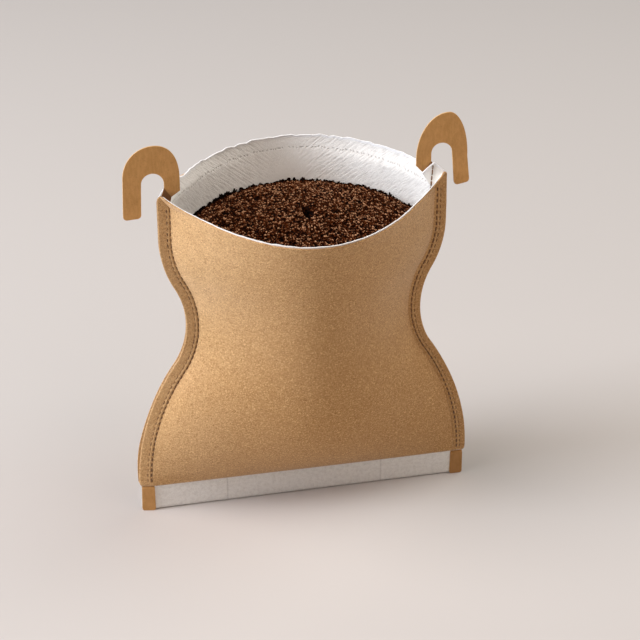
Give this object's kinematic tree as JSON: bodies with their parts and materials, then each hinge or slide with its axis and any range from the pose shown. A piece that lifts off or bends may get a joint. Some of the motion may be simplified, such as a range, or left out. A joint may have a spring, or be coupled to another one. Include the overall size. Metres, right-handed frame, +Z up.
{
  "type": "drip coffee bag",
  "caption": "Waisted kraft and filter-cloth drip coffee bag, open at the top and full of ground coffee, with a die-cut card hook at each upper corner for hanging on a cup rim.",
  "frame": {"origin": "on the floor, in the plane of the side seams, midway between them", "axes": "+Z up, the plain front panel faces -Y, +X to the right seen from the front"},
  "size_m": [0.0805, 0.0497, 0.0952],
  "materials": {
    "kraft": "matte",
    "filter_cloth": "matte",
    "ground_coffee": "matte",
    "card": "matte",
    "thread": "matte"
  },
  "bodies": {
    "root": {"front_panel": "kraft", "rear_panel": "kraft", "filter_bag": "filter_cloth", "coffee_grounds": "ground_coffee", "left_hanger": "card", "right_hanger": "card", "left_seam_stitching": "thread", "right_seam_stitching": "thread"}
  },
  "joints": []
}
